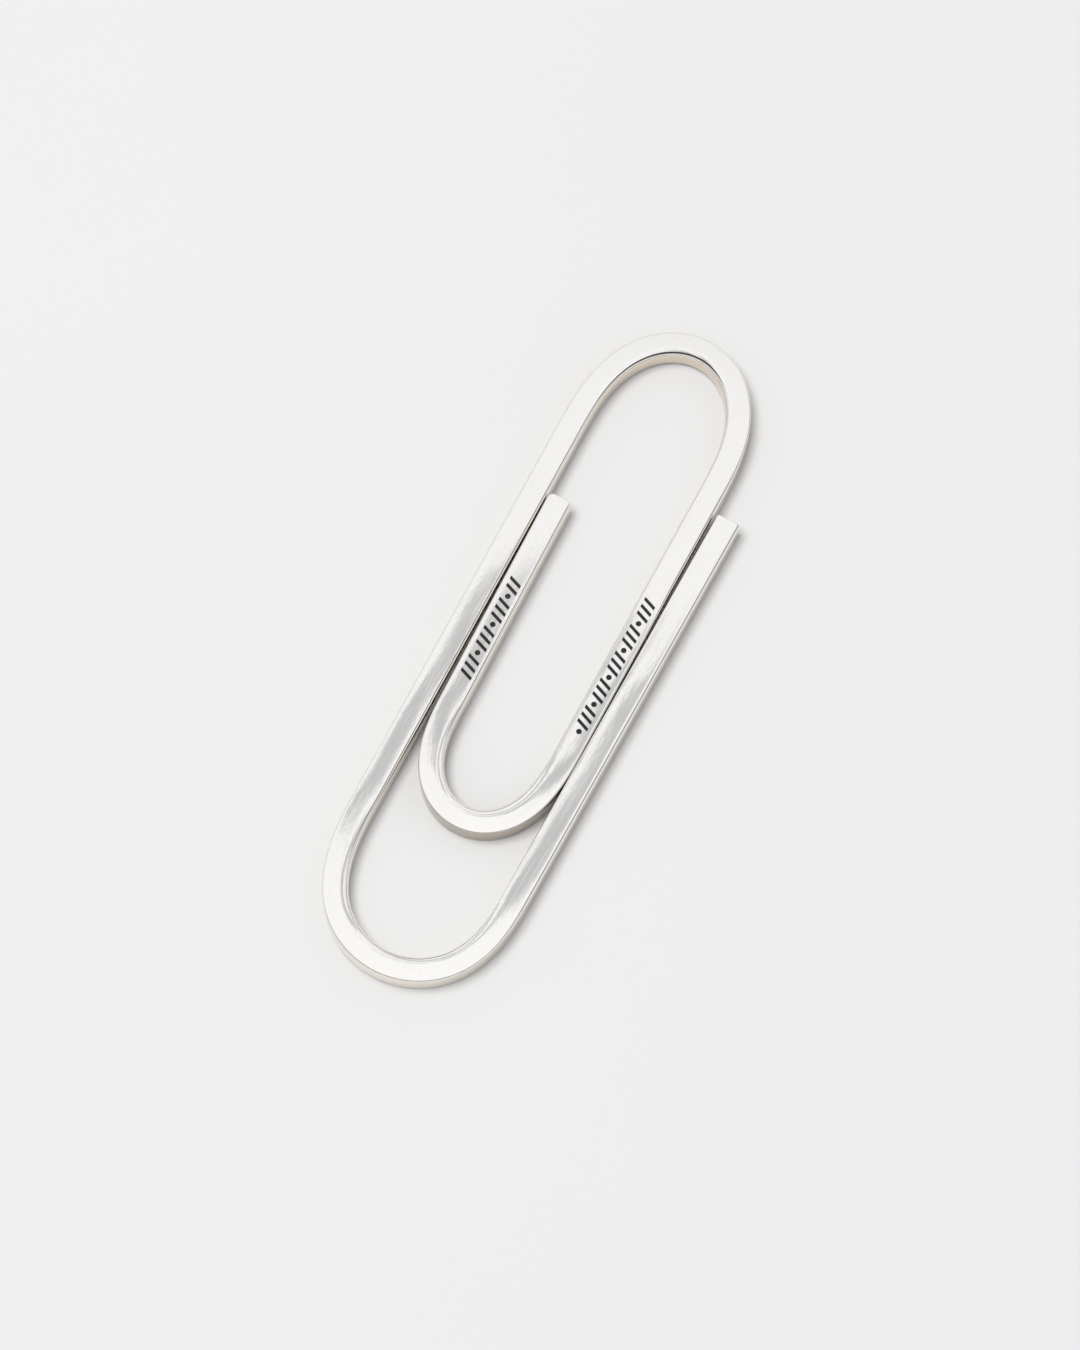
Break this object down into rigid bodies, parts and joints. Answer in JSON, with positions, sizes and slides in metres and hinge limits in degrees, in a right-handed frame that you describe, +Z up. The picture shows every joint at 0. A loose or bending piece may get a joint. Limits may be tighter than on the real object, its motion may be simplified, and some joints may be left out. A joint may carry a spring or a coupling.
{
  "type": "money clip",
  "caption": "Flat paper-clip money clip of polished square silver wire: a sprung tongue nests inside an outer loop and grips folded notes.",
  "frame": {"origin": "centre of the outline, on the surface that the clip lies on", "axes": "+Y along the clip towards the spring bend, +X from the spine towards the outer free leg, +Z up out of the clip's flat"},
  "size_m": [0.0222, 0.0778, 0.0027],
  "materials": {
    "silver": "polished sterling silver, near mirror, with fine wear scratches",
    "oxide": "matt black oxidised silver in the floor of the engraved marks"
  },
  "bodies": {
    "frame": {"outer_bend_spine_half": "silver", "spine_leg": "silver", "spring_bend_spine_half": "silver"},
    "outer_leg": {"outer_bend_free_half": "silver", "outer_free_leg": "silver", "outer_tip": "silver"},
    "tongue": {"spring_bend_tongue_half": "silver", "tongue_leg": "silver", "tongue_bend_leg_half": "silver"},
    "tongue_end": {"tongue_bend_free_half": "silver", "tongue_free_leg": "silver", "tongue_tip": "silver"}
  },
  "joints": [
    {"name": "tongue_lift", "type": "hinge", "parent": "frame", "child": "tongue", "pos_m": [-0.00149, 0.03751, 0.00135], "axis": [-1, 0, 0], "range_deg": [0, 6], "stiffness_Nm_per_rad": 5.8},
    {"name": "outer_leg_lift", "type": "hinge", "parent": "frame", "child": "outer_leg", "pos_m": [-0.00036, -0.03751, 0.00135], "axis": [1, 0, 0], "range_deg": [0, 4], "stiffness_Nm_per_rad": 8.7},
    {"name": "tongue_end_lift", "type": "hinge", "parent": "tongue", "child": "tongue_end", "pos_m": [-0.00018, -0.02016, 0.00135], "axis": [1, 0, 0], "range_deg": [0, 4], "stiffness_Nm_per_rad": 11.6}
  ]
}
